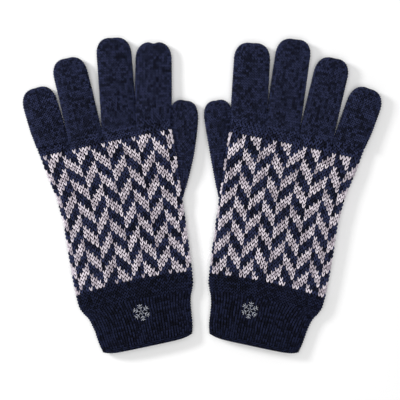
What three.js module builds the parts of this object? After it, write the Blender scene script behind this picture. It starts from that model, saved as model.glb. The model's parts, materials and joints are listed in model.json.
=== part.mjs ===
// A pair of knitted gloves, lying palm down with the backs up and the fingertips towards +Y.
// Millimetres, +Z up. X is across the pair, and the surface that the gloves lie on is z = 0.
// Each glove is drawn in its own frame: `across` runs from the thumb side (negative) to the little
// finger, and `along` runs from the wrist to the fingertips, with the knuckle line at along = 0.
import * as THREE from 'three';
import { mergeVertices } from 'three/addons/utils/BufferGeometryUtils.js';

// Fabric
const WALL = 2.2; // thickness of the knitted fabric
const SEAM_GAP = 0.3; // gap between knitted sections that meet
const SOLE = 0.38; // share of a tube's height at which its side folds lie
const ROUND_STEPS = 20; // facets round the hand and cuff
const FINGER_STEPS = 16; // facets round a finger

// How the pair lies
const HAND_LEAN = 12; // degrees that each hand leans away from the pair's centre line
const ROOM_FOR_THUMB = 21.2; // centre line of the pair to the near end of a knuckle line

// Hand
const HAND_LENGTH = 126; // knuckle line to the top of the cuff
const KNUCKLE_BAND = 8.5; // plain band under the fingers
const WRIST_BAND = 14.5; // plain band above the cuff
const HAND_HEIGHT = 14;
const PALM_WIDTH = 92;
const HEEL_WIDTH = 88.5;
const WRIST_WIDTH = 84;
const THUMB_FOLD_IN = 4; // how far the side of the hand folds in beside the thumb

// Cuff
const CUFF_LENGTH = 36.5;
const CUFF_WIDTH = 74;
const MOUTH_WIDTH = 69;
const CUFF_HEIGHT = 12;
const WELT_LENGTH = 3.5; // rolled cast-on edge at the mouth
const WELT_STANDS_OUT = 0.6; // how much wider the welt is than the rib, on each side
const ELASTIC_SIZE = 0.6; // section of the elastic rounds
const ELASTIC_DOWN = [8, 24]; // from the top of the cuff to each elastic round
const MOTIF_RADIUS = 7;
const MOTIF_THICKNESS = 0.8;
const MOTIF_ARMS = 6;
const MOTIF_DOWN = 10.5; // from the top of the cuff to the motif's centre
const MOTIF_ACROSS = -5;

// Fingers, from the thumb side: width at the root, length, knuckle to middle joint
const FINGER_HEIGHT = 13;
const FINGER_GAP = 0.6; // between neighbouring fingers at the crotch
const TIP_ROUND = 14; // length over which a fingertip narrows
const FINGERS = {
  index: { width: 27, length: 60, joint: 30 },
  middle: { width: 26, length: 69, joint: 33 },
  ring: { width: 25.5, length: 61.5, joint: 30 },
  little: { width: 25.5, length: 44.5, joint: 22 },
};
const KNUCKLE_WIDTH = Object.values(FINGERS).reduce((sum, finger) => sum + finger.width, 0);
const CROTCH_LENGTH = 5; // web between two fingers, inside the knuckle band
const CROTCH_WIDTH = 3;
const CLOSURE_SHARE = 0.52; // gathered knot inside each tip, as a share of the height inside

// Lean of each finger from the line square to the knuckles, degrees, positive away from the thumb
const FINGER_LEAN = {
  left: { index: -11.5, middle: -9, ring: 0.5, little: 4.5 },
  right: { index: -8, middle: -5, ring: 0.5, little: 8 },
};

// Thumb, measured from its outer edge
const THUMB_OPENING = 0.33; // degrees between the thumb's inner edge and the side of the hand
const THUMB_DOWN = 45; // knuckle line to the thumb's own root
const THUMB_LENGTH = 58;
const THUMB_JOINT = 28; // root to the thumb's tip joint
const THUMB_HEIGHT = 11;
const THUMB_ROOT_WIDTH = 12;
const THUMB_WIDTH = 19;
const THUMB_CLEARANCE = 0.8; // between the thumb and the side of the hand
const THUMB_GUSSET = 12; // length of the first courses, which stay with the hand

// Colours
const NAVY = 0x20253f;
const CUFF_NAVY = 0x161a30;
const LILAC = 0xc9c0cd;
const WHITE = 0xf2f2f4;

const radians = THREE.MathUtils.degToRad;

function yarn(color, roughness = 0.95) {
  return new THREE.MeshStandardMaterial({ color, roughness, metalness: 0 });
}

// The hand's outline: how far each edge lies from the middle, at stations down from the knuckles.
const besideThumb = PALM_WIDTH / 2 - THUMB_FOLD_IN;
const STATIONS = [
  { down: 0, thumb: KNUCKLE_WIDTH / 2, little: KNUCKLE_WIDTH / 2 },
  { down: THUMB_DOWN / 2, thumb: (KNUCKLE_WIDTH / 2 + besideThumb) / 2, little: PALM_WIDTH / 2 + 1.2 },
  { down: THUMB_DOWN, thumb: besideThumb, little: PALM_WIDTH / 2 - 1.5 },
  { down: 0.49 * HAND_LENGTH, thumb: PALM_WIDTH / 2 + 1.6, little: PALM_WIDTH / 2 - 1.8 },
  { down: 0.79 * HAND_LENGTH, thumb: PALM_WIDTH / 2 - 0.8, little: PALM_WIDTH / 2 - 0.3 },
  { down: 0.95 * HAND_LENGTH, thumb: HEEL_WIDTH / 2 - 1.2, little: HEEL_WIDTH / 2 + 1.2 },
  { down: HAND_LENGTH, thumb: WRIST_WIDTH / 2 - 0.8, little: WRIST_WIDTH / 2 + 0.8 },
  { down: HAND_LENGTH + 0.45 * CUFF_LENGTH, thumb: CUFF_WIDTH / 2, little: CUFF_WIDTH / 2 },
  { down: HAND_LENGTH + CUFF_LENGTH, thumb: MOUTH_WIDTH / 2, little: MOUTH_WIDTH / 2 },
];

function edgesAt(down) {
  const after = Math.max(1, STATIONS.findIndex((station) => station.down >= down));
  const a = STATIONS[after - 1];
  const b = STATIONS[after];
  const share = (down - a.down) / (b.down - a.down);
  const thumb = THREE.MathUtils.lerp(a.thumb, b.thumb, share);
  const little = THREE.MathUtils.lerp(a.little, b.little, share);
  return { width: thumb + little, across: (little - thumb) / 2 };
}

// A flattened tube's section: an oval standing on a flat sole.
function onSection(station, angle) {
  const { across, along, width, low, high } = station;
  const share = Math.max(0, SOLE + (1 - SOLE) * Math.sin(angle));
  return [across + (width / 2) * Math.cos(angle), along, low + (high - low) * share];
}

// A closed body through rings of stations. A station of no width is a pole, where the body closes.
function loft(stations, steps, side) {
  const profile = stations.map((station, index) => new THREE.Vector2(station.width ? 1 : 0, index));
  const geometry = new THREE.LatheGeometry(profile, steps);
  const position = geometry.getAttribute('position');
  for (let vertex = 0; vertex < position.count; vertex++) {
    const step = Math.floor(vertex / stations.length) % steps;
    const angle = (2 * Math.PI * (step + 0.5)) / steps;
    const [x, y, z] = onSection(stations[vertex % stations.length], angle);
    position.setXYZ(vertex, side * x, y, z);
  }
  return closedBody(geometry);
}

function closedBody(geometry) {
  geometry.deleteAttribute('normal');
  geometry.deleteAttribute('uv');
  const merged = mergeVertices(geometry);
  const position = merged.getAttribute('position');
  const triangles = [];
  let volume = 0;
  for (let first = 0; first < merged.index.count; first += 3) {
    const corners = [0, 1, 2].map((corner) => merged.index.getX(first + corner));
    if (new Set(corners).size === 3) {
      const [a, b, c] = corners.map((corner) => new THREE.Vector3().fromBufferAttribute(position, corner));
      volume += a.dot(b.cross(c));
      triangles.push(corners);
    }
  }
  const facing = volume > 0 ? triangles : triangles.map(([a, b, c]) => [a, c, b]);
  merged.setIndex(facing.flat());
  merged.computeVertexNormals();
  return merged;
}

// The same stations a fabric wall further in.
function inside(stations) {
  return stations.map((station) => ({
    ...station,
    width: station.width - 2 * WALL,
    low: station.low + WALL,
    high: station.high - WALL,
  }));
}

// A tube open at both ends: out along its outer wall and back along its inner wall.
function openTube(stations, steps, side) {
  const ring = [...stations, ...inside(stations).reverse()];
  return loft([...ring, ring[0]], steps, side);
}

// A tube open at its root and closed at its tip.
function closedTube(stations, steps, side, tip) {
  const lining = inside(stations).reverse();
  const poleOf = (end, along) => ({
    across: end.across,
    along,
    width: 0,
    low: (end.low + end.high) / 2,
    high: (end.low + end.high) / 2,
  });
  const innerPole = poleOf(lining[0], tip - WALL);
  const outerPole = poleOf(stations[stations.length - 1], tip);
  return loft([innerPole, ...lining, ...stations, outerPole], steps, side);
}

// Stations of the hand or cuff between two distances from the knuckle line.
function handStations(from, to, high, extraWidth = 0) {
  const between = STATIONS.map((station) => station.down).filter((down) => down > from && down < to);
  return [from, ...between, to].map((down) => {
    const { width, across } = edgesAt(down);
    return { across, along: -down, width: width + 2 * extraWidth, low: 0, high };
  });
}

// Stations of a finger or thumb from one distance to another; it narrows over its rounded tip.
function digitStations(digit, from, to) {
  const { length, height, widthAt, acrossAt } = digit;
  const shoulder = length - TIP_ROUND;
  const rounds = [0, 0.45, 0.75, 0.93].map((share) => shoulder + share * TIP_ROUND);
  const places = [from, ...rounds.filter((place) => place > from && place < to)];
  if (to < length) {
    places.push(to);
  }
  return places.map((along) => {
    const share = Math.max(0, (along - shoulder) / TIP_ROUND);
    const narrowing = Math.sqrt(1 - share * share);
    const lift = height * 0.3 * (1 - narrowing);
    return {
      across: acrossAt(along),
      along,
      width: widthAt(along) * narrowing,
      low: lift,
      high: lift + height * (0.35 + 0.65 * narrowing),
    };
  });
}

function mesh(name, geometry, material) {
  const piece = new THREE.Mesh(geometry, material);
  piece.name = name;
  return piece;
}

function digitPieces(name, digit, side, material) {
  const { length, joint, height, acrossAt } = digit;
  const base = digitStations(digit, SEAM_GAP / 2, joint - SEAM_GAP / 2);
  const end = digitStations(digit, joint + SEAM_GAP / 2, length);
  const knotSize = CLOSURE_SHARE * (height - 2 * WALL);
  const closure = new THREE.SphereGeometry(knotSize / 2, 8, 6);
  const knot = mesh(`${name}_tip_closure`, closedBody(closure), yarn(CUFF_NAVY));
  const knotAlong = length - WALL - SEAM_GAP - 0.65 * knotSize;
  knot.position.set(side * acrossAt(knotAlong), knotAlong, height / 2);
  return [
    mesh(`${name}_base`, openTube(base, FINGER_STEPS, side), material),
    mesh(`${name}_end`, closedTube(end, FINGER_STEPS, side, length), material),
    knot,
  ];
}

// Four fingers side by side along the knuckle line, with a web between each two.
function fingerPieces(hand, side) {
  const pieces = [];
  const names = Object.keys(FINGERS);
  let edge = -KNUCKLE_WIDTH / 2;
  names.forEach((name, index) => {
    const { width, length, joint } = FINGERS[name];
    const root = edge + width / 2;
    const slope = Math.tan(radians(FINGER_LEAN[hand][name]));
    const digit = {
      length,
      joint,
      height: FINGER_HEIGHT,
      widthAt: () => width - FINGER_GAP,
      acrossAt: (along) => root + slope * along,
    };
    pieces.push(...digitPieces(`${hand}_${name}`, digit, side, yarn(NAVY)));
    edge += width;
    if (index < names.length - 1) {
      pieces.push(crotchWeb(`${hand}_${name}_crotch_join`, edge, side));
    }
  });
  return pieces;
}

// The web stands between the back and the palm of the knuckle band.
function crotchWeb(name, across, side) {
  const { width, across: middle } = edgesAt(0);
  const inner = width / 2 - WALL;
  const rise = Math.sqrt(1 - ((across - middle) / inner) ** 2);
  const floor = WALL + SEAM_GAP;
  const ceiling = WALL + (HAND_HEIGHT - 2 * WALL) * (SOLE + (1 - SOLE) * rise) - 3 * SEAM_GAP;
  const web = new THREE.BoxGeometry(CROTCH_WIDTH, CROTCH_LENGTH, ceiling - floor);
  const piece = mesh(name, web, yarn(NAVY));
  piece.position.set(side * across, -SEAM_GAP - CROTCH_LENGTH / 2, (floor + ceiling) / 2);
  return piece;
}

// The thumb lies beside the hand. Its frame starts at its root on its outer edge.
function thumbPieces(hand, side) {
  const root = edgesAt(THUMB_DOWN);
  const outerEdge = root.across - root.width / 2 - THUMB_CLEARANCE - THUMB_ROOT_WIDTH;
  const spread = (THUMB_WIDTH - THUMB_ROOT_WIDTH) / (THUMB_LENGTH - TIP_ROUND);
  const handFlare = (KNUCKLE_WIDTH / 2 - besideThumb) / THUMB_DOWN;
  const lean = Math.atan(handFlare) + Math.atan(spread) + radians(THUMB_OPENING);
  const widthAt = (along) => Math.min(THUMB_WIDTH, THUMB_ROOT_WIDTH + spread * along);
  const digit = {
    length: THUMB_LENGTH,
    joint: THUMB_JOINT,
    height: THUMB_HEIGHT,
    widthAt,
    acrossAt: (along) => widthAt(along) / 2,
  };
  const gussetStart = -THUMB_GUSSET;
  const gussetEnd = -SEAM_GAP / 2;
  const gussetEnds = [
    { across: 1.2, along: gussetStart, width: 1.6, low: 0, high: THUMB_HEIGHT * 0.6 },
    { across: widthAt(gussetEnd) / 2, along: gussetEnd, width: widthAt(gussetEnd), low: 0, high: THUMB_HEIGHT },
  ];
  const pole = (station) => ({ ...station, width: 0, low: station.high / 2, high: station.high / 2 });
  const gussetRings = [pole(gussetEnds[0]), ...gussetEnds, pole(gussetEnds[1])];
  const thumb = new THREE.Group();
  thumb.position.set(side * outerEdge, -THUMB_DOWN, 0);
  thumb.rotation.z = side * lean;
  thumb.add(mesh(`${hand}_thumb_gusset`, loft(gussetRings, FINGER_STEPS, side), yarn(NAVY)));
  thumb.add(...digitPieces(`${hand}_thumb`, digit, side, yarn(NAVY)));
  return thumb;
}

// A small six-armed star stitched on the back of the cuff.
function cuffMotif(name, side) {
  const star = new THREE.Shape();
  for (let point = 0; point < 2 * MOTIF_ARMS; point++) {
    const radius = point % 2 ? MOTIF_RADIUS * 0.4 : MOTIF_RADIUS;
    const angle = (Math.PI * point) / MOTIF_ARMS + Math.PI / 2;
    const corner = [radius * Math.cos(angle), radius * Math.sin(angle)];
    if (point) {
      star.lineTo(...corner);
    } else {
      star.moveTo(...corner);
    }
  }
  const geometry = new THREE.ExtrudeGeometry(star, { depth: MOTIF_THICKNESS, bevelEnabled: false });
  const motif = mesh(name, closedBody(geometry), yarn(WHITE));
  motif.position.set(side * MOTIF_ACROSS, -HAND_LENGTH - MOTIF_DOWN, CUFF_HEIGHT + SEAM_GAP / 2);
  return motif;
}

function cuffPieces(hand, side) {
  const top = HAND_LENGTH + SEAM_GAP / 2;
  const mouth = HAND_LENGTH + CUFF_LENGTH;
  const weltTop = mouth - WELT_LENGTH;
  const rib = openTube(handStations(top, weltTop - SEAM_GAP / 2, CUFF_HEIGHT), ROUND_STEPS, side);
  const weltStations = handStations(weltTop + SEAM_GAP / 2, mouth, CUFF_HEIGHT, WELT_STANDS_OUT);
  const pieces = [
    mesh(`${hand}_rib_cuff`, rib, yarn(CUFF_NAVY)),
    mesh(`${hand}_cuff_welt`, openTube(weltStations, ROUND_STEPS, side), yarn(CUFF_NAVY)),
    cuffMotif(`${hand}_cuff_motif`, side),
  ];
  ELASTIC_DOWN.forEach((down, index) => {
    const start = HAND_LENGTH + down;
    const lining = inside(handStations(start, start + ELASTIC_SIZE, CUFF_HEIGHT));
    const outer = lining.map((station) => ({
      ...station,
      width: station.width - 4 * SEAM_GAP,
      low: station.low + SEAM_GAP,
      high: station.high - 2 * SEAM_GAP,
    }));
    const inner = outer.map((station) => ({
      ...station,
      width: station.width - 2 * ELASTIC_SIZE,
      low: station.low + ELASTIC_SIZE,
      high: station.high - ELASTIC_SIZE,
    }));
    const ring = [...outer, ...inner.reverse()];
    const round = loft([...ring, ring[0]], ROUND_STEPS, side);
    pieces.push(mesh(`${hand}_cuff_elastic_${index + 1}`, round, yarn(WHITE, 0.8)));
  });
  return pieces;
}

function handPieces(hand, side) {
  const jacquardTop = KNUCKLE_BAND;
  const jacquardEnd = HAND_LENGTH - WRIST_BAND;
  const half = SEAM_GAP / 2;
  const bands = [
    { name: 'knuckle_band', from: half, to: jacquardTop - half, color: NAVY },
    { name: 'jacquard_hand', from: jacquardTop + half, to: jacquardEnd - half, color: LILAC },
    { name: 'wrist_band', from: jacquardEnd + half, to: HAND_LENGTH - half, color: NAVY },
  ];
  return bands.map(({ name, from, to, color }) => {
    const stations = handStations(from, to, HAND_HEIGHT);
    return mesh(`${hand}_${name}`, openTube(stations, ROUND_STEPS, side), yarn(color));
  });
}

function glove(hand, side) {
  const group = new THREE.Group();
  group.position.x = side * (KNUCKLE_WIDTH / 2 + ROOM_FOR_THUMB);
  group.rotation.z = -side * radians(HAND_LEAN);
  group.add(...handPieces(hand, side));
  group.add(...cuffPieces(hand, side));
  group.add(...fingerPieces(hand, side));
  group.add(thumbPieces(hand, side));
  return group;
}

const group = new THREE.Group();
group.name = 'knitted_gloves';
group.add(glove('left', -1));
group.add(glove('right', 1));

// The frame's origin is the middle of the pair, on the surface that the gloves lie on.
const middle = new THREE.Box3().setFromObject(group, true).getCenter(new THREE.Vector3());
group.position.set(-middle.x, -middle.y, 0);

export default group;
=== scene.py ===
# %% [markdown]
# # A pair of knitted gloves, stitch by stitch
# Knitwear gets its look from its stitches, so this lesson doesn't paint a knit on smooth tubes. It
# models one stitch, arrays it into a flat swatch, and wraps the swatch round the form of each part
# of the glove. The frame comes first: it is the CAD model that holds the sizes, bodies and joints.

# %% Load the frame
import json
import math

import bmesh
import bpy
import numpy as np
from mathutils import Matrix, Vector


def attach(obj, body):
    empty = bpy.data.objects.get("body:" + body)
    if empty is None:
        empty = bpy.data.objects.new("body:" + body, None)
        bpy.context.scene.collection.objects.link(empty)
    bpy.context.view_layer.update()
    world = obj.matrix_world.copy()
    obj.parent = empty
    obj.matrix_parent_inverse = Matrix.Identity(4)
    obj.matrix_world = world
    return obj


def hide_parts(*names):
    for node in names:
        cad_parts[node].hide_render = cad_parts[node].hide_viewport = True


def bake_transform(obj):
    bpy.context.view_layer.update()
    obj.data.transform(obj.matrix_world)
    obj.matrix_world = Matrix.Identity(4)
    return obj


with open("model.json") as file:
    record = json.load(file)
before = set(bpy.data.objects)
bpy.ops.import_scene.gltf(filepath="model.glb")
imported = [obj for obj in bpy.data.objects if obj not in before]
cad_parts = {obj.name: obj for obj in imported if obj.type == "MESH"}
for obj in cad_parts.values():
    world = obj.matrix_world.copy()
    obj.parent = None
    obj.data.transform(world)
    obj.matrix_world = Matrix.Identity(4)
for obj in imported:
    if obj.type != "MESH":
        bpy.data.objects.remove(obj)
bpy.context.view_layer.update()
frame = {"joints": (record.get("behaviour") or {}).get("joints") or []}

MM = 0.001
joints = {joint["name"]: joint for joint in frame["joints"]}

# %% [markdown]
# ## The camera
# The pair is seen from straight above, as in a flat lay. A long lens keeps the sides of the fingers
# upright. The camera stands where its field is 300 mm wide, which leaves a margin round the pair.

# %% Camera
FIELD_WIDTH = 300 * MM
LENS_MM = 100
SENSOR_MM = 36
LOOKS_AT = Vector((-1.7 * MM, -2.4 * MM, 8 * MM))

camera_data = bpy.data.cameras.new("flat_lay_camera")
camera_data.lens = LENS_MM
camera_data.sensor_width = SENSOR_MM
camera = bpy.data.objects.new("flat_lay_camera", camera_data)
camera.location = LOOKS_AT + Vector((0, 0, FIELD_WIDTH * LENS_MM / SENSOR_MM))
bpy.context.scene.collection.objects.link(camera)
bpy.context.scene.camera = camera
print("camera stands", round(camera.location.z, 3), "m above the table")

# %% [markdown]
# ## A pale table and soft light
# Dark wool needs a bright, even studio. A white surround fills the folds, one wide softbox overhead
# lights the tops of the stitches and leaves the gaps between them dark, and a smaller one from the
# top left gives every strand a lit side. The table stays just white, so contact shadows still show.

# %% Table, lamps and surround
TABLE_SIZE = 3.0


def link(name, data):
    made = bpy.data.objects.new(name, data)
    bpy.context.scene.collection.objects.link(made)
    return made


def mesh_from(sheet, name):
    """The bmesh made into a mesh, and freed."""
    data = bpy.data.meshes.new(name)
    sheet.to_mesh(data)
    sheet.free()
    return data


sheet = bmesh.new()
bmesh.ops.create_grid(sheet, x_segments=1, y_segments=1, size=TABLE_SIZE / 2)
bmesh.ops.translate(sheet, verts=sheet.verts, vec=(0, 0, -0.2 * MM))
table = link("table", mesh_from(sheet, "table"))

table_paint = bpy.data.materials.new("white_table")
table_paint.use_nodes = True
table_shader = table_paint.node_tree.nodes["Principled BSDF"]
table_shader.inputs["Base Color"].default_value = (0.97, 0.97, 0.97, 1)
table_shader.inputs["Roughness"].default_value = 0.9
table_shader.inputs["Specular IOR Level"].default_value = 0.1
table.data.materials.append(table_paint)

SURROUND_STRENGTH = 0.34
LAMPS = {
    "overhead_softbox": dict(place=(0.0, -0.12, 1.5), size=1.3, watts=14.0),
    "key_softbox": dict(place=(-0.85, 0.4, 0.7), size=0.25, watts=6.5),
}
for name, lamp in LAMPS.items():
    data = bpy.data.lights.new(name, "AREA")
    data.shape = "SQUARE"
    data.size = lamp["size"]
    data.energy = lamp["watts"]
    light = link(name, data)
    light.location = lamp["place"]
    light.rotation_euler = (-Vector(lamp["place"])).to_track_quat("-Z", "Y").to_euler()

world = bpy.data.worlds.new("white_studio")
world.use_nodes = True
surround = world.node_tree.nodes["Background"]
surround.inputs["Color"].default_value = (1, 1, 1, 1)
surround.inputs["Strength"].default_value = SURROUND_STRENGTH
bpy.context.scene.world = world
bpy.context.scene.view_settings.view_transform = "Standard"
print("lamps:", ", ".join(LAMPS))

# %% [markdown]
# ## Each glove's own frame
# Both gloves are drawn with the same rules. `across` runs from the thumb side to the little finger,
# `along` runs from the wrist to the fingertips with the knuckles at 0, and z is up. The knuckle
# joints say where that frame lies, and a `side` of -1 mirrors it for the left hand.

# %% Glove frames
HANDS = {"left": -1, "right": 1}
FINGERS = {
    "index": dict(width=27 * MM, length=60 * MM),
    "middle": dict(width=26 * MM, length=69 * MM),
    "ring": dict(width=25.5 * MM, length=61.5 * MM),
    "little": dict(width=25.5 * MM, length=44.5 * MM),
}
KNUCKLE_WIDTH = sum(finger["width"] for finger in FINGERS.values())


class GloveFrame:
    """Turns points given as (across, along, up) into the pair's frame."""

    def __init__(self, hand):
        self.side = HANDS[hand]
        knuckle = joints[f"{hand}_index_knuckle"]
        axis = np.array(knuckle["axis"], float)
        self.x_axis = axis * self.side
        self.y_axis = np.cross([0, 0, 1], axis)
        to_middle = KNUCKLE_WIDTH / 2 - FINGERS["index"]["width"] / 2
        self.origin = np.array(knuckle["pos_m"], float) + self.x_axis * to_middle
        self.origin[2] = 0

    def place(self, points):
        points = np.asarray(points, float)
        flat = points[..., :1] * self.x_axis + points[..., 1:2] * self.y_axis
        out = self.origin + flat
        out[..., 2] = points[..., 2]
        return out

    def measure(self, point):
        """(across, along) of a point of the pair's frame."""
        away = np.array(point, float) - self.origin
        return np.array([away @ self.x_axis, away @ self.y_axis])


frames = {hand: GloveFrame(hand) for hand in HANDS}
for hand, own in frames.items():
    print(hand, "middle of the knuckle line:", own.origin.round(4))

# %% [markdown]
# ## Sections and forms
# A knitted tube that lies flat is a squashed oval: nearly flat below, crowned above, and folded
# round at its sides. A form is the tube's smooth surface, kept as rows of points. Points go round a
# row by equal lengths of fabric, because that is how stitches share a tube, and each form can give
# the place and the outward direction of any point on it.

# %% Ovals and forms
AROUND = 120  # points round a form
FOLD_HEIGHT = 0.42  # share of a section's height at which its sides fold


def bulge(turn, power):
    """Superellipse ways sideways and up for an angle from the top."""
    sideways = np.sign(np.sin(turn)) * np.abs(np.sin(turn)) ** (2 / power)
    upward = np.sign(np.cos(turn)) * np.abs(np.cos(turn)) ** (2 / power)
    return sideways, upward


def oval(width, height, low, crown=2.2, sole=3.0):
    """A closed section of points (across, up), from its top middle towards +across."""
    turn = np.linspace(0, 2 * math.pi, 4 * AROUND, endpoint=False)
    above = np.cos(turn) >= 0
    over, under = bulge(turn, crown), bulge(turn, sole)
    across = width / 2 * np.where(above, over[0], under[0])
    fold = FOLD_HEIGHT * height
    up = low + fold + np.where(above, (height - fold) * over[1], fold * under[1])
    return np.stack([across, up], axis=-1)


def even_steps(section):
    """The section with its points at equal steps of fabric, and the first repeated last."""
    closed = np.vstack([section, section[:1]])
    length = np.concatenate([[0], np.cumsum(np.linalg.norm(np.diff(closed, axis=0), axis=1))])
    wanted = np.linspace(0, length[-1], AROUND + 1)
    return np.stack([np.interp(wanted, length, closed[:, axis]) for axis in (0, 1)], axis=-1)


def smooth_step(value, start, end):
    share = np.clip((np.asarray(value, float) - start) / (end - start), 0, 1)
    return share * share * (3 - 2 * share)


# %% [markdown]
# A form worked out by rule is too regular for cloth, so it settles before any stitch is laid on it.
# Each tube becomes a coarse cloth, a little too large for its shape, with slight pressure inside
# and its two end rows pinned. After a few frames it has the soft swells and dents of real fabric.
# The whole move is scaled down where it is large, so that neighbouring pieces still meet.

# %% Cloth settling
COARSE = 4  # every fourth point of a form takes part in the cloth
CLOTH_FRAMES = 14
CLOTH_PRESSURE = 0.35
CLOTH_STIFFNESS = 12
CLOTH_SLACK = 0.025  # how much larger than its shape the cloth is
HELD_ROWS = 5  # the move fades to nothing over this many coarse rows at each end
MOST_MOVE = 1.5 * MM


def coarse_tube(points):
    """A tube through a coarse grid of points, and each vertex's number in that grid."""
    rows, columns = points.shape[0], points.shape[1]
    sheet = bmesh.new()
    bmesh.ops.create_grid(sheet, x_segments=columns - 1, y_segments=rows - 1, size=1)
    number = sheet.verts.layers.int.new("number")
    for index, vertex in enumerate(sheet.verts):
        vertex[number] = index
        vertex.co = points[index // columns, index % columns]
    bmesh.ops.remove_doubles(sheet, verts=sheet.verts, dist=0.001 * MM)
    numbers = [vertex[number] for vertex in sheet.verts]
    return mesh_from(sheet, "tube"), np.array(numbers)


def settled(points, name):
    """The form's points after a short cloth run on a coarse copy of it."""
    row_picks = np.unique(np.append(np.arange(0, len(points), COARSE), len(points) - 1))
    column_picks = np.arange(0, AROUND + 1, COARSE)
    coarse = points[row_picks][:, column_picks]
    data, numbers = coarse_tube(coarse)
    tube = link(f"{name}_cloth", data)
    rows, columns = coarse.shape[:2]
    pins = tube.vertex_groups.new(name="pins")
    at_ends = [i for i, number in enumerate(numbers) if number // columns in (0, rows - 1)]
    pins.add(at_ends, 1.0, "REPLACE")
    cloth = tube.modifiers.new("cloth", "CLOTH")
    cloth.settings.quality = 6
    cloth.settings.mass = 0.15
    cloth.settings.tension_stiffness = CLOTH_STIFFNESS
    cloth.settings.compression_stiffness = CLOTH_STIFFNESS
    cloth.settings.bending_stiffness = 0.6
    cloth.settings.shrink_min = -CLOTH_SLACK
    cloth.settings.vertex_group_mass = "pins"
    cloth.settings.use_pressure = True
    cloth.settings.uniform_pressure_force = CLOTH_PRESSURE
    cloth.settings.effector_weights.gravity = 0
    cloth.collision_settings.use_collision = False
    for number in range(1, CLOTH_FRAMES + 1):
        bpy.context.scene.frame_set(number)
    graph = bpy.context.evaluated_depsgraph_get()
    moved = np.array([vertex.co for vertex in tube.evaluated_get(graph).data.vertices])
    start = np.array([vertex.co for vertex in data.vertices])
    bpy.data.objects.remove(tube)
    bpy.context.scene.frame_set(1)
    move = np.zeros((rows * columns, 3))
    move[numbers] = np.nan_to_num(moved - start)
    move = move.reshape(rows, columns, 3)
    # The weld keeps one of the two points at the seam, and the other's move is 0.
    move[:, 0] = move[:, -1] = move[:, 0] + move[:, -1]
    largest = float(np.linalg.norm(move, axis=-1).max())
    move *= min(1, MOST_MOVE / max(largest, 1e-9))
    from_end = np.minimum(np.arange(rows), np.arange(rows)[::-1])
    move *= np.minimum(1, from_end / HELD_ROWS)[:, None, None]
    fine = np.empty((len(points), AROUND + 1, 3))
    for axis in range(3):
        steps = np.arange(AROUND + 1)
        wide = np.array([np.interp(steps, column_picks, row) for row in move[:, :, axis]])
        tall = [np.interp(np.arange(len(points)), row_picks, column) for column in wide.T]
        fine[:, :, axis] = np.array(tall).T
    out = points + fine
    out[:, :, 2] = np.maximum(out[:, :, 2], points[:, :, 2].min())
    print(name, "settled by up to", round(min(largest, MOST_MOVE) / MM, 2), "mm")
    return out


# %% [markdown]
# The form keeps its settled points and works out its outward direction at each one, from the way
# round and the way along. A stitch is then placed by three numbers: round, along and off the face.

# %% Forms
class Form:
    """A tube's surface in the pair's frame. Its columns run towards +X over the top."""

    def __init__(self, name, own, places, rows):
        points = own.place(np.array(rows))
        points = points if own.side > 0 else points[:, ::-1]
        self.points = settled(points, name)
        self.places = np.array(places)
        round_ways = np.roll(self.points[:, :-1], -1, axis=1) - np.roll(self.points[:, :-1], 1, axis=1)
        long_ways = np.gradient(self.points, axis=0)[:, :-1]
        out = np.cross(round_ways, long_ways)
        out /= np.maximum(np.linalg.norm(out, axis=-1, keepdims=True), 1e-12)
        self.out = np.concatenate([out, out[:, :1]], axis=1)

    def at(self, around, place, height):
        """Points at a share of the way round, a place along and a height above the surface."""
        column = np.mod(around, 1) * AROUND
        row = np.interp(place, self.places, np.arange(len(self.places)))
        left = np.minimum(column.astype(int), AROUND - 1)
        below = np.minimum(row.astype(int), len(self.places) - 2)
        u, v = (column - left)[:, None], (row - below)[:, None]

        def mix(grid):
            low = grid[below, left] * (1 - u) + grid[below, left + 1] * u
            high = grid[below + 1, left] * (1 - u) + grid[below + 1, left + 1] * u
            return low * (1 - v) + high * v

        return mix(self.points) + mix(self.out) * np.asarray(height)[:, None]


sample = even_steps(oval(92 * MM, 12 * MM, 0))
sample_round = float(np.linalg.norm(np.diff(sample, axis=0), axis=1).sum())
print("a 92 mm hand goes", round(sample_round / MM, 1), "mm round")

# %% [markdown]
# ## The form of the hand and cuff
# The outline is how far each side lies from the middle line, at a few stations down from the
# knuckles. Towards the fingers the top dips into grooves, and beside the thumb the hand's edge
# lifts a little, because the thumb tucks in against it.

# %% Hand and cuff form
HAND_LENGTH = 126 * MM
CUFF_LENGTH = 36.5 * MM
MOUTH = -(HAND_LENGTH + CUFF_LENGTH)
HAND_HEIGHT = 11.4 * MM
CUFF_HEIGHT = 9.6 * MM
KNUCKLE_HEIGHT = 10.1 * MM
KNIT_STANDS = 1.2 * MM  # how far stitches stand proud of a form
STATIONS = [0, 10, 25, 37, 57, 76, 97, 112, 121, 128, 134, 142, 152, 163]
THUMB_SIDE = [52, 51.6, 50.9, 49.8, 48.6, 47.2, 45.5, 44.2, 43.2, 40.4, 38.6, 37.4, 36.4, 34.5]
LITTLE_SIDE = [52, 50.2, 47.1, 44.9, 43.7, 44.8, 45.6, 45.8, 45.4, 42.6, 39.6, 37.6, 36.4, 34.7]
GROOVE_DEPTH = 5.0 * MM
GROOVE_WIDTH = 2.8 * MM
THUMB_TUCK = 2.4 * MM
EDGE_DROOP = 3.0 * MM  # how far a course hangs back where it folds round the side of the hand
MOUTH_CORNER = 2.2 * MM  # how far the corners of the cuff's mouth are rounded back
ROW_STEP = 1.5 * MM


def softened(stations, values):
    """A smooth curve through the stations, in metres, as a function of the place along."""
    fine = np.arange(-12, 180, 0.5)
    raw = np.interp(fine, stations, values)
    weight = np.hanning(21)
    soft = np.convolve(np.pad(raw, 10, mode="edge"), weight / weight.sum(), "valid")
    return lambda along: np.interp(-np.asarray(along) / MM, fine, soft) * MM


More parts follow.
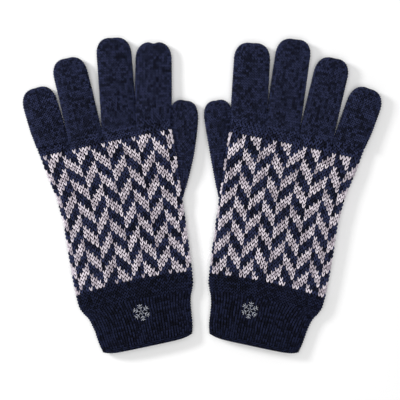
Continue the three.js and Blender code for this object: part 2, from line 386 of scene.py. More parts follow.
thumb_edge = softened(STATIONS, THUMB_SIDE)
little_edge = softened(STATIONS, LITTLE_SIDE)
crotches = np.cumsum([finger["width"] for finger in FINGERS.values()])[:-1] - KNUCKLE_WIDTH / 2


def hand_row(along):
    """One course's line round the hand, as points (across, along, up)."""
    left, right = thumb_edge(along) - KNIT_STANDS, little_edge(along) - KNIT_STANDS
    in_cuff = smooth_step(-along, HAND_LENGTH - 6 * MM, HAND_LENGTH + 8 * MM)
    height = HAND_HEIGHT + (CUFF_HEIGHT - HAND_HEIGHT) * in_cuff
    height = height + (KNUCKLE_HEIGHT - HAND_HEIGHT) * smooth_step(along, -16 * MM, 1 * MM)
    section = oval(left + right, height, KNIT_STANDS, crown=2.5)
    across = section[:, 0] + (right - left) / 2
    up = section[:, 1]
    near_fingers = smooth_step(along, -11 * MM, 1 * MM)
    upper = smooth_step(up, 0.4 * height, 0.8 * height)
    for place in crotches:
        dip = np.exp(-(((across - place) / GROOVE_WIDTH) ** 2))
        up = up - GROOVE_DEPTH * near_fingers * dip * upper
    beside = smooth_step(-across, left - 16 * MM, left) * smooth_step(along, -66 * MM, -48 * MM)
    up = up + THUMB_TUCK * beside * (1 - smooth_step(up, 0.6 * height, height))
    row = even_steps(np.stack([across, up], axis=-1))
    to_edge = np.clip(np.abs(row[:, 0]) / ((left + right) / 2), 0, 1)
    on_hand = smooth_step(-along, 4 * MM, 20 * MM) * (1 - in_cuff)
    droop = EDGE_DROOP * to_edge**2 * on_hand
    at_mouth = smooth_step(-along, -MOUTH - 9 * MM, -MOUTH)
    droop = droop - MOUTH_CORNER * to_edge**8 * at_mouth
    return np.stack([row[:, 0], along - droop, row[:, 1]], axis=-1)


hand_places = np.arange(MOUTH - 3 * MM, 6 * MM, ROW_STEP)
hand_rows = [hand_row(along) for along in hand_places]
hand_forms = {hand: Form(f"{hand}_hand", frames[hand], hand_places, hand_rows) for hand in HANDS}
print("hand form:", len(hand_places), "rows of", AROUND, "points")

# %% [markdown]
# ## The forms of the fingers and the thumb
# A finger starts square at its root, where it fills its share of the hand, and turns rounder. It
# keeps its width almost to the end and closes over its last courses. A digit's place, lean and
# bend are read from its two joints. The thumb's inner edge follows the side of the hand.

# %% Digit forms
FINGER_HEIGHT = 10.6 * MM
THUMB_HEIGHT = 9.4 * MM
FINE_STANDS = 0.85 * MM  # the fingers are knitted finer, so their stitches stand less proud
TIP_LENGTH = 14 * MM
TIP_ARC = 1.4 * TIP_LENGTH  # length of fabric that goes over a tip
FINGER_SWELL = 0.6 * MM  # how far a filled-out finger stands past its share of the hand
ROOT_TUCK = 1.1 * MM  # how far the outer fingers' roots draw in to meet the sides of the hand
TUCK_LENGTH = 15 * MM
FINGER_TAPER = 0.03
THUMB_LENGTH = 57 * MM
PLEATS = 7  # folds where a tip is drawn in
PLEAT_DEPTH = 0.09
TIP_NOTCH = 0.35 * MM
TURNS_SQUARE = 26 * MM
DEEP_NOTCH = {("left", "index"): 2.6 * MM}
NOTCH_WIDTH = 2.6 * MM
# How far each finger bends sideways by its tip, away from the thumb
TIP_BOW = {"index": -0.5 * MM, "middle": 1.2 * MM, "ring": 0.9 * MM}
THUMB_WIDEST = 21.5 * MM
THUMB_START = -15 * MM
THUMB_BOW = {"left": 1.9 * MM, "right": 0.4 * MM}  # how far the thumb's outer edge bows out
THUMB_BOW_LENGTH = 66 * MM
THUMB_OVERLAP = 1.0 * MM  # how far the thumb's inner edge goes below the hand's
THUMB_ROOT_WIDTH = 12 * MM
THUMB_ROOT_SHARE = 0.55  # how much of its full height the thumb has where it starts
THUMB_FULL_BY = 14 * MM


class Digit:
    """A finger or thumb: its line, its bend and its form."""

    def __init__(self, hand, name):
        self.hand, self.name, self.own = hand, name, frames[hand]
        self.is_thumb = name == "thumb"
        tail = ("root_joint", "tip_joint") if self.is_thumb else ("knuckle", "middle_joint")
        first, second = (joints[f"{hand}_{name}_{end}"] for end in tail)
        self.root = self.own.measure(first["pos_m"])
        bend = self.own.measure(second["pos_m"])
        if self.is_thumb:
            axis = self.own.measure(np.array(first["axis"]) + self.own.origin)
            self.sideways = axis * np.sign(axis[0])
            self.lean = np.array([-self.sideways[1], self.sideways[0]])
            self.joint = float((bend - self.root) @ self.lean)
            self.length = THUMB_LENGTH
        else:
            self.sideways = np.array([1.0, 0.0])
            self.lean = (bend - self.root) / (bend - self.root)[1]
            self.joint = float((bend - self.root)[1])
            self.length = FINGERS[name]["length"]
        self.arc = self.length - TIP_LENGTH + TIP_ARC
        start = THUMB_START if self.is_thumb else -4 * MM
        self.places = np.concatenate([
            np.arange(start, self.length - TIP_LENGTH, ROW_STEP),
            np.linspace(self.length - TIP_LENGTH, self.arc, 22),
        ])
        self.form = Form(f"{hand}_{name}", self.own, self.places, [self.row(place) for place in self.places])

    def shape_at(self, place):
        """(distance along, share of the full width) where the fabric's own length is `place`."""
        share = np.clip((place - (self.length - TIP_LENGTH)) / TIP_ARC, 0, 1)
        if share == 0:
            return place, 1.0
        turn = share * math.pi / 2
        along = self.length - TIP_LENGTH * (1 - math.sin(turn) ** 0.9)
        return along, max(math.cos(turn) ** 0.75, 0.012)

    def edges(self, distance):
        """How far the two edges lie from the line through the root."""
        if not self.is_thumb:
            half = FINGERS[self.name]["width"] / 2 + FINGER_SWELL - FINE_STANDS
            half = half * (1 - FINGER_TAPER * smooth_step(distance, 0, self.length))
            tuck = ROOT_TUCK * (1 - float(smooth_step(distance, -2 * MM, TUCK_LENGTH)))
            return -half + tuck * (self.name == "index"), half - tuck * (self.name == "little")
        along_bow = float(np.clip((distance - THUMB_START) / THUMB_BOW_LENGTH, 0, 1))
        outer = -THUMB_ROOT_WIDTH / 2 - THUMB_BOW[self.hand] * math.sin(math.pi * along_bow)
        on_edge = self.root + self.lean * distance
        hand_side = -thumb_edge(on_edge[1]) + THUMB_OVERLAP
        inner = (hand_side - on_edge[0]) / self.sideways[0]
        inner = min(inner, outer + THUMB_WIDEST)
        return outer + FINE_STANDS, max(inner, outer + 2.2 * MM)

    def sideways_at(self, distance):
        """The courses run along the knuckle line at the root, and turn square to the digit's line."""
        square = np.array([self.lean[1], -self.lean[0]])
        share = float(smooth_step(distance, 0, TURNS_SQUARE))
        mixed = self.sideways * (1 - share) + square * share
        return mixed / np.linalg.norm(mixed)

    def row(self, place):
        distance, share = self.shape_at(place)
        outer, inner = self.edges(distance)
        tall = FINGER_HEIGHT
        if self.is_thumb:
            grown = float(smooth_step(distance, THUMB_START, THUMB_FULL_BY))
            tall = THUMB_HEIGHT * (THUMB_ROOT_SHARE + (1 - THUMB_ROOT_SHARE) * grown)
        root = 1 - float(smooth_step(distance, 0, 12 * MM))
        closing = min(1.0, 1.35 * share)
        low = FINE_STANDS + 0.3 * tall * (1 - closing)
        section = oval((inner - outer) * share, tall * closing, low, crown=2.2 + 0.8 * root)
        if self.is_thumb:
            to_hand = smooth_step(section[:, 0], -2 * MM, (inner - outer) / 2)
            beside = 1 - smooth_step(distance, 44 * MM, 54 * MM)
            section[:, 1] = low + (section[:, 1] - low) * (1 - 0.35 * to_hand * beside)
        row = even_steps(section)
        centre = np.array([0, low + tall * closing / 2])
        turn = np.linspace(0, 2 * math.pi, len(row))
        drawn_in = max(0.0, 1 - share) ** 1.5
        pleats = 1 + PLEAT_DEPTH * drawn_in * np.cos(PLEATS * turn)[:, None]
        row = centre + (row - centre) * pleats
        depth = DEEP_NOTCH.get((self.hand, self.name), TIP_NOTCH)
        notch = depth * drawn_in * np.exp(-((row[:, :1] / NOTCH_WIDTH) ** 2))
        sideways = self.sideways_at(distance)
        bow = TIP_BOW.get(self.name, 0) * (max(distance, 0) / self.length) ** 2
        middle = self.root + self.lean * distance + sideways * ((outer + inner) / 2 + bow)
        flat = middle + row[:, :1] * sideways - notch * self.lean
        return np.column_stack([flat, row[:, 1]])

    def point(self, distance):
        flat = self.root + self.lean * distance
        return tuple(self.own.place([flat[0], flat[1], 0.0]))


digits = {(hand, name): Digit(hand, name) for hand in HANDS for name in [*FINGERS, "thumb"]}
for (hand, name), digit in digits.items():
    print(hand, name, "bends", round(digit.joint / MM, 1), "mm from its root")

# %% [markdown]
# ## Yarn
# Yarn is two or more plies twisted together, with loose fibres over them. The group below draws the
# plies from a strand's own map (round it and along it) and the fibres from the piece's place, and
# gives a colour, a roughness and a height. The colour falls to a darker groove colour between the
# plies, which is painted shade, and also where the fibres or the tone run low, which is the yarn's
# own. A `tone` kept on every stitch makes no two quite alike.

# %% Yarn node group
def socket(group, name, kind, direction, value=None):
    made = group.interface.new_socket(name=name, in_out=direction, socket_type=kind)
    if value is not None:
        made.default_value = value
    return made


def math_node(tree, operation, first, second):
    node = tree.nodes.new("ShaderNodeMath")
    node.operation = operation
    for index, value in enumerate((first, second)):
        if isinstance(value, (int, float)):
            node.inputs[index].default_value = value
        else:
            tree.links.new(value, node.inputs[index])
    return node.outputs[0]


def yarn_group():
    group = bpy.data.node_groups.new("Twisted yarn", "ShaderNodeTree")
    socket(group, "Yarn Color", "NodeSocketColor", "INPUT", (0.02, 0.03, 0.06, 1))
    socket(group, "Groove Shade and Tone Color", "NodeSocketColor", "INPUT", (0.005, 0.006, 0.02, 1))
    for name, value in (("Plies", 3.0), ("Turns", 1.5), ("Fibre Scale", 2500.0)):
        socket(group, name, "NodeSocketFloat", "INPUT", value)
    for name, kind in (("Color", "Color"), ("Roughness", "Float"), ("Height", "Float")):
        socket(group, name, f"NodeSocket{kind}", "OUTPUT")
    nodes, links = group.nodes, group.links
    given = nodes.new("NodeGroupInput")
    result = nodes.new("NodeGroupOutput")
    strand = nodes.new("ShaderNodeUVMap")
    strand.uv_map = "strand"
    apart = nodes.new("ShaderNodeSeparateXYZ")
    links.new(strand.outputs["UV"], apart.inputs[0])
    round_it = math_node(group, "MULTIPLY", apart.outputs[0], given.outputs["Plies"])
    along_it = math_node(group, "MULTIPLY", apart.outputs[1], given.outputs["Turns"])
    phase = math_node(group, "MULTIPLY", math_node(group, "ADD", round_it, along_it), 2 * math.pi)
    wave = math_node(group, "SINE", math_node(group, "MULTIPLY", phase, 0.5), 0.0)
    ply = math_node(group, "ABSOLUTE", wave, 0.0)
    place = nodes.new("ShaderNodeTexCoord")
    fibres = nodes.new("ShaderNodeTexNoise")
    fibres.inputs["Detail"].default_value = 3.0
    fibres.inputs["Roughness"].default_value = 0.7
    links.new(place.outputs["Object"], fibres.inputs["Vector"])
    links.new(given.outputs["Fibre Scale"], fibres.inputs["Scale"])
    tone = nodes.new("ShaderNodeAttribute")
    tone.attribute_name = "tone"
    # Where the plies part, the share falls and the colour goes to the groove colour: painted shade. Low fibre
    # noise and low tone darken it too, as the yarn's own random variation.
    ply_part = math_node(group, "MULTIPLY", ply, 0.55)
    fibre_part = math_node(group, "MULTIPLY", fibres.outputs["Fac"], 0.75)
    tone_part = math_node(group, "MULTIPLY", tone.outputs["Fac"], 0.85)
    share = math_node(group, "ADD", math_node(group, "ADD", ply_part, fibre_part), tone_part)
    ramp = nodes.new("ShaderNodeMapRange")
    ramp.inputs["From Min"].default_value = 0.7
    ramp.inputs["From Max"].default_value = 1.45
    links.new(share, ramp.inputs["Value"])
    mix = nodes.new("ShaderNodeMix")
    mix.data_type = "RGBA"
    links.new(ramp.outputs["Result"], mix.inputs["Factor"])
    links.new(given.outputs["Groove Shade and Tone Color"], mix.inputs["A"])
    links.new(given.outputs["Yarn Color"], mix.inputs["B"])
    links.new(mix.outputs["Result"], result.inputs["Color"])
    rough = math_node(group, "ADD", math_node(group, "MULTIPLY", fibres.outputs["Fac"], 0.2), 0.75)
    links.new(rough, result.inputs["Roughness"])
    links.new(math_node(group, "ADD", ply, fibre_part), result.inputs["Height"])
    return group


twisted_yarn = yarn_group()
print("sockets of the yarn:", [item.name for item in twisted_yarn.interface.items_tree])

# %% [markdown]
# Five finishes use that group. Wool scatters light softly at its edges, which sheen stands for, so
# sheen is set straight on each shader. Dark navy keeps its colour low and lets the sheen lift it.

# %% Yarn materials
def yarn_material(name, yarn, groove_shade_and_tone, sheen, turns=1.5, plies=3.0, fibre=2500.0, bump=0.35 * MM):
    material = bpy.data.materials.new(name)
    material.use_nodes = True
    tree = material.node_tree
    shader = tree.nodes["Principled BSDF"]
    strands = tree.nodes.new("ShaderNodeGroup")
    strands.node_tree = twisted_yarn
    strands.inputs["Yarn Color"].default_value = (*yarn, 1)
    strands.inputs["Groove Shade and Tone Color"].default_value = (*groove_shade_and_tone, 1)
    strands.inputs["Plies"].default_value = plies
    strands.inputs["Turns"].default_value = turns
    strands.inputs["Fibre Scale"].default_value = fibre
    relief = tree.nodes.new("ShaderNodeBump")
    relief.inputs["Strength"].default_value = 0.7
    relief.inputs["Distance"].default_value = bump
    tree.links.new(strands.outputs["Color"], shader.inputs["Base Color"])
    tree.links.new(strands.outputs["Roughness"], shader.inputs["Roughness"])
    tree.links.new(strands.outputs["Height"], relief.inputs["Height"])
    tree.links.new(relief.outputs["Normal"], shader.inputs["Normal"])
    plain = {"Specular IOR Level": 0.1, "Sheen Weight": sheen, "Sheen Roughness": 0.5}
    for name, value in plain.items():
        shader.inputs[name].default_value = value
    shader.inputs["Sheen Tint"].default_value = (0.75, 0.8, 1.0, 1)
    return material


# The second colour of each finish is painted shade for the grooves between the plies, and also the yarn's low
# random tone.
NAVY = yarn_material("navy_wool", (0.037, 0.046, 0.115), (0.001, 0.0015, 0.006), 0.03)
DEEP_NAVY = yarn_material("cuff_wool", (0.016, 0.021, 0.058), (0.0008, 0.001, 0.004), 0.02)
LILAC = yarn_material("lilac_wool", (0.96, 0.88, 0.95), (0.42, 0.36, 0.42), 0.1)
# The inner face's wool is near black: painted shade for the gaps between the stitches.
SHADE_BACKING = yarn_material("inner_face_painted_shade", (0.003, 0.0035, 0.009), (0.0005, 0.0007, 0.002), 0.0, fibre=1200.0)
ELASTIC = yarn_material("covered_elastic", (0.7, 0.7, 0.68), (0.35, 0.35, 0.34), 0.05, turns=6.0)
MOTIF = yarn_material("white_thread", (0.85, 0.87, 0.92), (0.45, 0.47, 0.53), 0.2, turns=3.0)
print("finishes:", [finish.name for finish in (NAVY, DEEP_NAVY, LILAC, SHADE_BACKING, ELASTIC, MOTIF)])

# %% [markdown]
# ## One stitch
# A knit stitch shows as a V: two legs that start side by side, lean apart and dive under the next
# course. Each leg starts as a low sphere, because a sphere is closed and already has a strand's
# round section. Operators stretch it, fill out its ends, lean it and set it in place, and its two
# ends are bent down so that they tuck in. A stitch is one wale wide and one course tall.

# %% Stitch
LEG_SIDES = 6


def strand_sheet():
    sheet = bmesh.new()
    sheet.loops.layers.uv.new("strand")
    return sheet


def add_leg(sheet, lean, centre, half_length, radius, thickness, dip):
    """A strand leaning by `lean` from the course direction, its ends bent down by `dip`."""
    made = bmesh.ops.create_uvsphere(sheet, u_segments=LEG_SIDES, v_segments=4, radius=1, calc_uvs=True)
    verts = made["verts"]
    shoulders = [vertex for vertex in verts if 0.1 < abs(vertex.co.z) < 0.9]
    bmesh.ops.scale(sheet, verts=shoulders, vec=(1.22, 1.22, 0.86))
    bmesh.ops.scale(sheet, verts=verts, vec=(radius, thickness, half_length))
    bmesh.ops.rotate(sheet, verts=verts, matrix=Matrix.Rotation(-math.pi / 2, 3, "X"))
    for vertex in verts:
        vertex.co.z -= dip * (vertex.co.y / half_length) ** 2
    bmesh.ops.rotate(sheet, verts=verts, matrix=Matrix.Rotation(-lean, 3, "Z"))
    bmesh.ops.translate(sheet, verts=verts, vec=centre)
    return verts


def stitch_mesh(name, lean=0.36, spread=0.245, half_length=0.74, radius=0.178, thickness=0.26, dip=0.38):
    sheet = strand_sheet()
    for way in (-1, 1):
        centre = (0.5 + way * spread, 0.45, 0.12)
        add_leg(sheet, way * lean, centre, half_length, radius, thickness, dip)
    return mesh_from(sheet, name)


knit_stitch = stitch_mesh("knit_stitch")
print("a stitch has", len(knit_stitch.vertices), "points and", len(knit_stitch.polygons), "faces")

# %% [markdown]
# ## From a stitch to a fabric
# Two Array modifiers lay the stitch out into a flat swatch, wales by courses. The swatch is then
# wrapped on a form: each point's way across sets how far round it goes, its way up sets how far
# along, and its height lifts it off the surface. Below the stitches lies the fabric's inner face,
# a thin closed wall, so that no light shows between the strands. It is coloured near black, which
# is painted shade for the gaps between the strands.

# %% Swatch, backing and wrapping
TIP_REACH = 8 * MM  # a tip's last row lies within this of its middle
SWAY = 0.12  # how far a stitch lies from its wale, as a share of the wale
DRIFT = 0.7  # how far a group of stitches wanders together
DRIFT_STEP = 4
chance = np.random.default_rng(7)


def swatch(stitch, wales, courses):
    """The stitch repeated in a flat sheet, one row of wales after another."""
    source = link("swatch", stitch)
    for offset, count in (((1, 0, 0), wales), ((0, 1, 0), courses)):
        array = source.modifiers.new("repeat", "ARRAY")
        array.use_relative_offset = False
        array.use_constant_offset = True
        array.constant_offset_displace = offset
        array.count = count
    graph = bpy.context.evaluated_depsgraph_get()
    data = bpy.data.meshes.new_from_object(source.evaluated_get(graph))
    bpy.data.objects.remove(source)
    return data


def coordinates(data):
    flat = np.empty(len(data.vertices) * 3)
    data.vertices.foreach_get("co", flat)
    return flat.reshape(-1, 3)


def set_coordinates(data, points):
    data.vertices.foreach_set("co", np.asarray(points).ravel())
    data.update()


def set_tone(data, tone):
    data.attributes.new("tone", "FLOAT", "POINT").data.foreach_set("value", tone.astype(np.float32))


def backing(form, start, end, columns, rows, depth, wall, closed_end=False):
    """The fabric's inner face: a closed wall below the stitches."""
    sheet = bmesh.new()
    bmesh.ops.create_grid(sheet, x_segments=columns, y_segments=rows, size=0.5)
    flat = np.array([vertex.co for vertex in sheet.verts]) + 0.5
    place = start + (end - start) * flat[:, 1]
    points = form.at(flat[:, 0] * (1 - 1e-9), place, np.full(len(flat), -depth))
    for vertex, point in zip(sheet.verts, points):
        vertex.co = point
    bmesh.ops.remove_doubles(sheet, verts=sheet.verts, dist=0.001 * MM)
    if closed_end:
        tip = Vector(form.at(np.zeros(1), np.array([end]), np.zeros(1))[0])
        rim = [edge for edge in sheet.edges if edge.is_boundary]
        near = [edge for edge in rim if all((v.co - tip).length < TIP_REACH for v in edge.verts)]
        bmesh.ops.holes_fill(sheet, edges=near)
    bmesh.ops.recalc_face_normals(sheet, faces=sheet.faces)
    bmesh.ops.solidify(sheet, geom=sheet.faces, thickness=wall)
    return mesh_from(sheet, "backing")


def joined(name, meshes):
    """One mesh of several, with their material numbers kept."""
    sheet = bmesh.new()
    for data in meshes:
        sheet.from_mesh(data)
    return mesh_from(sheet, name)


def drift(wales, courses):
    """A slow random shift for each stitch, the same on both sides of the seam."""
    grid = chance.random((courses // DRIFT_STEP + 2, wales // DRIFT_STEP + 2)) - 0.5
    grid[:, -1] = grid[:, 0]
    wide = [np.interp(np.arange(wales) / wales, np.linspace(0, 1, grid.shape[1]), row) for row in grid]
    tall = [np.interp(np.arange(courses) / courses, np.linspace(0, 1, grid.shape[0]), column)
            for column in np.array(wide).T]
    return np.array(tall).T.ravel()


def knit(name, form, start, end, wales, courses, pitch, materials, stitch=knit_stitch, chooser=None,
         wall=0.9 * MM, shrink=None, closed_end=False, inner=True, sink=0.0):
    """A knitted tube on a form, from one place along it to another."""
    data = swatch(stitch, wales, courses)
    points = coordinates(data)
    per_stitch = len(stitch.vertices)
    faces_each = len(stitch.polygons)
    place = start + (end - start) * points[:, 1] / courses
    tone = np.repeat(chance.random(wales * courses), per_stitch)
    lift = points[:, 2] * pitch * (1 + 0.12 * (tone - 0.5))
    if shrink is not None:
        lift = lift * (shrink(place) if callable(shrink) else shrink)
    lift = lift - sink
    sway = SWAY * (np.repeat(chance.random(wales * courses), per_stitch) - 0.5)
    sway = sway + DRIFT * np.repeat(drift(wales, courses), per_stitch)
    set_coordinates(data, form.at((points[:, 0] + sway) / wales, place, lift))
    set_tone(data, tone)
    if chooser is not None:
        wale, course = np.meshgrid(np.arange(wales), np.arange(courses))
        number = chooser(wale.ravel(), course.ravel())
        data.polygons.foreach_set("material_index", np.repeat(number, faces_each).astype(np.int32))
    parts = [data]
    if inner:
        under = backing(form, start, end, wales, max(2, courses), 0.08 * pitch, wall, closed_end)
        # The inner face takes the last finish, the near-black painted shade.
        number = np.full(len(under.polygons), len(materials) - 1, dtype=np.int32)
        under.polygons.foreach_set("material_index", number)
        parts.append(under)
    made = joined(name, parts)
    for material in materials:
        made.materials.append(material)
    made.shade_smooth()
    return link(name, made)


def triangles(piece):
    return sum(len(polygon.vertices) - 2 for polygon in piece.data.polygons)


# %% [markdown]
# ## The patterned hand
# The pattern is a broken chevron: bands three courses deep that climb one way over four wales, then
# meet the next four half a period apart. It repeats every eight wales and six courses, runs on
# round both edges, and is cut off straight by the plain courses above and below.

# %% Pattern rule
HAND_WALES = 72
PATTERN_COURSES = 35
PANEL = 4
PERIOD = 6
# Each glove's pattern starts at its own place in the repeat, and was pulled to its own length.
FIRST_WALE = {"left": 0, "right": 7}
FIRST_COURSE = {"left": 5, "right": 4}
PATTERN_TOP = {"left": -6.6 * MM, "right": -8.5 * MM}
PATTERN_BOTTOM = {"left": -111.2 * MM, "right": -113.0 * MM}


def pattern_rule(hand):
    """Which yarn each stitch is: 0 for the light one, 1 for the dark one."""

    def chooser(wale, course):
        towards_thumb = wale if hand == "left" else -1 - wale
        i = (towards_thumb + FIRST_WALE[hand]) % (2 * PANEL)
        r = course + FIRST_COURSE[hand]
        climbs = (r - i) % PERIOD < PERIOD / 2
        falls = (r + i - PANEL) % PERIOD < PERIOD / 2
        light = np.where(i < PANEL, climbs, falls)
        return np.where(light, 0, 1)

    return chooser


HAND_PITCH = 2.83 * MM
PLAIN_PITCH = 0.92 * HAND_PITCH
KNUCKLE_COURSES = 4
WRIST_COURSES = 6
KNUCKLE_END = 1.5 * MM
for hand in HANDS:
    form = hand_forms[hand]
    top, bottom = PATTERN_TOP[hand], PATTERN_BOTTOM[hand]
    pattern = knit(f"{hand}_jacquard_knit", form, bottom, top, HAND_WALES, PATTERN_COURSES, HAND_PITCH,
                   [LILAC, NAVY, SHADE_BACKING], chooser=pattern_rule(hand))
    plain_top = knit(f"{hand}_knuckle_band_knit", form, top, KNUCKLE_END, HAND_WALES,
                     KNUCKLE_COURSES, PLAIN_PITCH, [NAVY, SHADE_BACKING])
    plain_bottom = knit(f"{hand}_wrist_band_knit", form, -HAND_LENGTH, bottom, HAND_WALES,
                        WRIST_COURSES, PLAIN_PITCH, [DEEP_NAVY, SHADE_BACKING])
    for piece, node, slot in (
        (pattern, "jacquard_hand", "pattern_yarn"),
        (plain_top, "knuckle_band", "navy_yarn"),
        (plain_bottom, "wrist_band", "navy_yarn"),
    ):
        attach(piece, f"{hand}_hand")
        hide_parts(f"{hand}_{node}")
        print(piece.name, triangles(piece), "triangles")

# %% [markdown]
# ## The ribbed cuff
# One-by-one rib is a column of knit stitches, then a column of purls that sinks behind it. Only the
# knit columns show, as narrow steep Vs with dark valleys between. The cast-on edge is attached to
# the cuff's body.

# %% Rib and welt
RIBS = 75
RIB_PITCH = 2.15 * MM
RIB_COURSE = 1.9 * MM
RIB_RELIEF = 1.2  # how far ribs stand up, against their pitch
RIB_WALL = 0.8 * MM
WELT_COURSES = 3
WELT_LENGTH = 3.5 * MM
BEND_LENGTH = 20 * MM
rib_stitch = stitch_mesh(
    "rib_stitch", lean=0.16, spread=0.15, half_length=0.82, radius=0.19, thickness=0.34, dip=0.3
)
welt_stitch = stitch_mesh(
    "cast_on_loop", lean=0.95, spread=0.22, half_length=0.55, radius=0.30, thickness=0.36, dip=0.2
)
for hand in HANDS:
    own, form = frames[hand], hand_forms[hand]
    dict(
        start=tuple(own.place([0, -HAND_LENGTH, 0.0])),
        end=tuple(own.place([0, -HAND_LENGTH - BEND_LENGTH, 0.0])),
    )
    rib_end = MOUTH + WELT_LENGTH
    rib_courses = round((-HAND_LENGTH - rib_end) / RIB_COURSE)
    # Between the rib's knit columns the near-black inner face shows, as painted shade in the valleys.
    rib = knit(f"{hand}_rib_knit", form, rib_end, -HAND_LENGTH, RIBS, rib_courses, RIB_PITCH * RIB_RELIEF,
               [DEEP_NAVY, SHADE_BACKING], stitch=rib_stitch, wall=RIB_WALL)
    welt = knit(f"{hand}_cast_on_edge", form, MOUTH, rib_end, RIBS, WELT_COURSES, RIB_PITCH * RIB_RELIEF,
                [DEEP_NAVY, SHADE_BACKING], stitch=welt_stitch, wall=RIB_WALL)
    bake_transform(rib)
    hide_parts(f"{hand}_rib_cuff")
    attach(welt, f"{hand}_cuff")
    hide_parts(f"{hand}_cuff_welt")
    print(rib.name, triangles(rib), welt.name, triangles(welt))

# %% [markdown]
# ## Fingers and thumb
# Each digit is two lengths of finer knit, split halfway to the middle joint. The last courses draw
# in at the tip, where the stitches get smaller with the room that is left.

# %% Digit knitting
FINE_WALES = 30
THUMB_WALES = 26
FINE_PITCH = 2.0 * MM
FINE_COURSE = 1.8 * MM
FINE_WALL = 0.7 * MM
THUMB_BLEND_START = -8 * MM
GUSSET_COURSES = 4
GUSSET_LIFT = 0.6  # the gusset's stitches lie flatter, because it tucks in below the hand


def fine_courses(start, end):
    return max(2, round((end - start) / FINE_COURSE))


def tip_shrink(digit):
    """How much of their full height the stitches keep at a place along a digit."""

    def shrink(place):
        share = np.clip((place - (digit.length - TIP_LENGTH)) / TIP_ARC, 0, 1)
        return np.clip(np.cos(share * math.pi / 2), 0.0, 1) ** 0.5 * 0.9 + 0.1

    return shrink


for (hand, name), digit in digits.items():
    wales = THUMB_WALES if digit.is_thumb else FINE_WALES
    first_start = THUMB_BLEND_START if digit.is_thumb else 0.0
    split = digit.joint / 2
    stitch_end = digit.arc - 0.06 * TIP_ARC
    shrink = tip_shrink(digit)
    base = knit(f"{hand}_{name}_base_knit", digit.form, first_start, split, wales,
                fine_courses(first_start, split), FINE_PITCH, [NAVY, SHADE_BACKING], wall=FINE_WALL, shrink=shrink)
    end = knit(f"{hand}_{name}_end_knit", digit.form, split, stitch_end, wales,
               fine_courses(split, stitch_end), FINE_PITCH, [NAVY, SHADE_BACKING], wall=FINE_WALL, shrink=shrink,
               closed_end=True)
    digit.point(first_start)
    digit.point(split)
    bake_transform(base)
    digit.point(split)
    digit.point(1.5 * digit.joint)
    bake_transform(end)
    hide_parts(f"{hand}_{name}_base")
    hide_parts(f"{hand}_{name}_end")
    if digit.is_thumb:
        gusset = knit(f"{hand}_thumb_gusset_knit", digit.form, THUMB_START, THUMB_BLEND_START, wales,
                      GUSSET_COURSES, FINE_PITCH, [NAVY, SHADE_BACKING], wall=0.4 * MM, shrink=GUSSET_LIFT)
        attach(gusset, f"{hand}_hand")
        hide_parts(f"{hand}_thumb_gusset")
    print(base.name, triangles(base), end.name, triangles(end))

# %% [markdown]
# ## Drawn-in tips
# To close a tip, the maker runs the yarn through the last stitches, pulls it tight and ties it off.
# Short strands run in to the middle like the spokes of a wheel, and two crossed strands make the
# knot over them.

# %% Tip gathers
GATHER_SPOKES = 11
GATHER_LENGTH = 2.6 * MM
KNOT_STRAND = 1.3 * MM
GATHER_LIFT = 0.5  # the spokes lie lower than the stitches round them
spoke = stitch_mesh(
    "gather_spoke", lean=0.12, spread=0.2, half_length=0.62, radius=0.26, thickness=0.5, dip=0.1
)


def aligned_to(points, centre, along, up):
    """Flat points stood on a place: y runs along, z runs up."""
    along = np.array(along) / np.linalg.norm(along)
    across = np.cross(along, up)
    return centre + points[:, :1] * across + points[:, 1:2] * along + points[:, 2:] * np.array(up)


def knot(name, place, along):
    sheet = strand_sheet()
    for lean in (0.6, -0.9, 1.7):
        add_leg(sheet, lean, (0, 0, 0), KNOT_STRAND, 0.45 * MM, 0.45 * MM, 0.35 * MM)
    data = mesh_from(sheet, name)
    set_coordinates(data, aligned_to(coordinates(data), place, np.cross(along, [0, 0, 1]), along))
    return data


for (hand, name), digit in digits.items():
    end = digit.arc - 0.02 * TIP_ARC
    # The spokes and the knot use the darker cuff navy, which is painted shade in the pinched dimple of each
    # tip.
    ring = knit("spokes", digit.form, end - GATHER_LENGTH, end, GATHER_SPOKES, 1, 1.3 * MM, [DEEP_NAVY],
                stitch=spoke, inner=False, shrink=GATHER_LIFT)
    tip = digit.form.at(np.zeros(1), np.array([digit.arc]), np.zeros(1))[0]
    flat = digit.own.place([*digit.lean, 0]) - digit.own.place([0, 0, 0])
    tied = knot("knot", tip - flat * 0.5 * MM, flat)
    made = joined(f"{hand}_{name}_tip_gather", [ring.data, tied])
    bpy.data.objects.remove(ring)
    made.materials.append(DEEP_NAVY)
    made.shade_smooth()
    gather = link(made.name, made)
    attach(gather, f"{hand}_{name}_second")
    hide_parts(f"{hand}_{name}_tip_closure")
print("gathered tips:", len(digits))

# %% [markdown]
# ## Joins between the fingers
# Where two fingers part, a few stitches are picked up so that no hole is left. They make a small
# upright saddle of knitting between the back and the palm, and it is attached to the hand.

# %% Crotch joins
JOIN_WALES = 3
JOIN_COURSES = 4
JOIN_WIDTH = 4.4 * MM
JOIN_HEIGHT = 7.4 * MM
JOIN_LOW = 2.6 * MM
JOIN_FORWARD = 1.2 * MM
JOIN_SIDE_CURVE = 90  # per metre: how fast the join bends back towards its sides
JOIN_HOLLOW = 3.2 * MM  # how far its top and bottom lie behind its middle

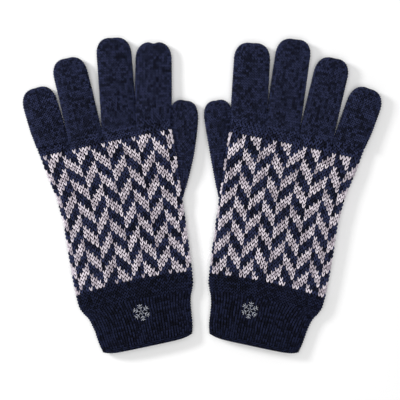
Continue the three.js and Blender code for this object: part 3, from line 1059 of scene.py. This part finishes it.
for hand, own in frames.items():
    for name, crotch in zip(FINGERS, crotches):
        data = swatch(knit_stitch, JOIN_WALES, JOIN_COURSES)
        flat = coordinates(data)
        x = (flat[:, 0] / JOIN_WALES - 0.5) * JOIN_WIDTH
        rise = flat[:, 1] / JOIN_COURSES
        saddle = JOIN_SIDE_CURVE * x**2 + JOIN_HOLLOW * (2 * rise - 1) ** 2
        forward = JOIN_FORWARD + flat[:, 2] * FINE_PITCH - saddle
        up = JOIN_LOW + JOIN_HEIGHT * rise
        points = own.place(np.column_stack([crotch + own.side * x, forward, up]))
        set_coordinates(data, points)
        tone = np.repeat(chance.random(JOIN_WALES * JOIN_COURSES), len(knit_stitch.vertices))
        set_tone(data, tone)
        sheet = bmesh.new()
        sheet.from_mesh(data)
        bmesh.ops.recalc_face_normals(sheet, faces=sheet.faces)
        data = mesh_from(sheet, data.name)
        data.materials.append(NAVY)
        data.shade_smooth()
        join = link(f"{hand}_{name}_join_knit", data)
        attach(join, f"{hand}_hand")
        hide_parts(f"{hand}_{name}_crotch_join")
print("joins between fingers:", 2 * len(crotches))

# %% [markdown]
# ## Elastic rounds inside the cuff
# Two rounds of covered elastic lie against the rib's inner face and hold the cuff on the wrist.
# Each is a wrapped cord, so it is made of short strands that lie round the cuff and overlap.

# %% Elastics
ELASTIC_DOWN = [8.3 * MM, 24.3 * MM]
ELASTIC_WRAPS = 64
ELASTIC_WIDTH = 1.2 * MM
ELASTIC_DEPTH = 1.75 * MM
sheet = strand_sheet()
add_leg(sheet, 1.35, (0.5, 0.5, 0), 0.85, 0.3, 0.3, 0.05)
wrap_stitch = mesh_from(sheet, "elastic_wrap")

for hand in HANDS:
    for count, down in enumerate(ELASTIC_DOWN, start=1):
        place = -HAND_LENGTH - down
        cord = knit(f"{hand}_elastic_round_{count}", hand_forms[hand], place - ELASTIC_WIDTH / 2,
                    place + ELASTIC_WIDTH / 2, ELASTIC_WRAPS, 1, ELASTIC_WIDTH, [ELASTIC],
                    stitch=wrap_stitch, inner=False, sink=ELASTIC_DEPTH)
        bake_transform(cord)
        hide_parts(f"{hand}_cuff_elastic_{count}")
print("elastic rounds:", 2 * len(ELASTIC_DOWN))

# %% [markdown]
# ## The stitched mark
# A small mark is sewn on the back of each cuff in thin white thread. Here it is a plain six-armed
# snowflake. Each line is a row of short stitches, and each stitch dives into the rib at both ends.

# %% Snowflake
MOTIF_ACROSS = {"left": -1.0 * MM, "right": -9.0 * MM}
MOTIF_ALONG = -136.5 * MM
ARM_LENGTH = 6.6 * MM
ARMS = 6
BRANCH_PLACES = [0.45, 0.72]
BRANCH_LENGTH = 2.3 * MM
BRANCH_TURN = 0.95
THREAD_RADIUS = 0.26 * MM
STITCH_LENGTH = 2.2 * MM
MOTIF_LIFT = 1.25 * MM  # the thread lies on the tops of the ribs
CUFF_ROUND = 160 * MM  # length of a round of the cuff


def sew(sheet, start, turn, length):
    """Stitches in a line from a start, in a direction turned from the course direction."""
    count = max(1, round(length / STITCH_LENGTH))
    way = np.array([math.sin(turn), math.cos(turn)])
    for number in range(count):
        centre = np.array(start) + way * length * (number + 0.5) / count
        half = 0.55 * length / count
        add_leg(sheet, turn, (*centre, 0), half, THREAD_RADIUS, THREAD_RADIUS, 0.35 * MM)


for hand, own in frames.items():
    sheet = strand_sheet()
    for arm in range(ARMS):
        turn = 2 * math.pi * arm / ARMS
        way = np.array([math.sin(turn), math.cos(turn)])
        sew(sheet, way * 0.5 * MM, turn, ARM_LENGTH - 0.5 * MM)
        for share in BRANCH_PLACES:
            for side in (-1, 1):
                sew(sheet, way * ARM_LENGTH * share, turn + side * BRANCH_TURN, BRANCH_LENGTH)
    data = mesh_from(sheet, f"{hand}_snowflake")
    flat = coordinates(data)
    x = own.side * MOTIF_ACROSS[hand] + flat[:, 0]
    lift = flat[:, 2] + MOTIF_LIFT
    set_coordinates(data, hand_forms[hand].at(x / CUFF_ROUND, MOTIF_ALONG + flat[:, 1], lift))
    data.materials.append(MOTIF)
    data.shade_smooth()
    mark = link(data.name, data)
    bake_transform(mark)
    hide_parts(f"{hand}_cuff_motif")
    print(mark.name, triangles(mark), "triangles")
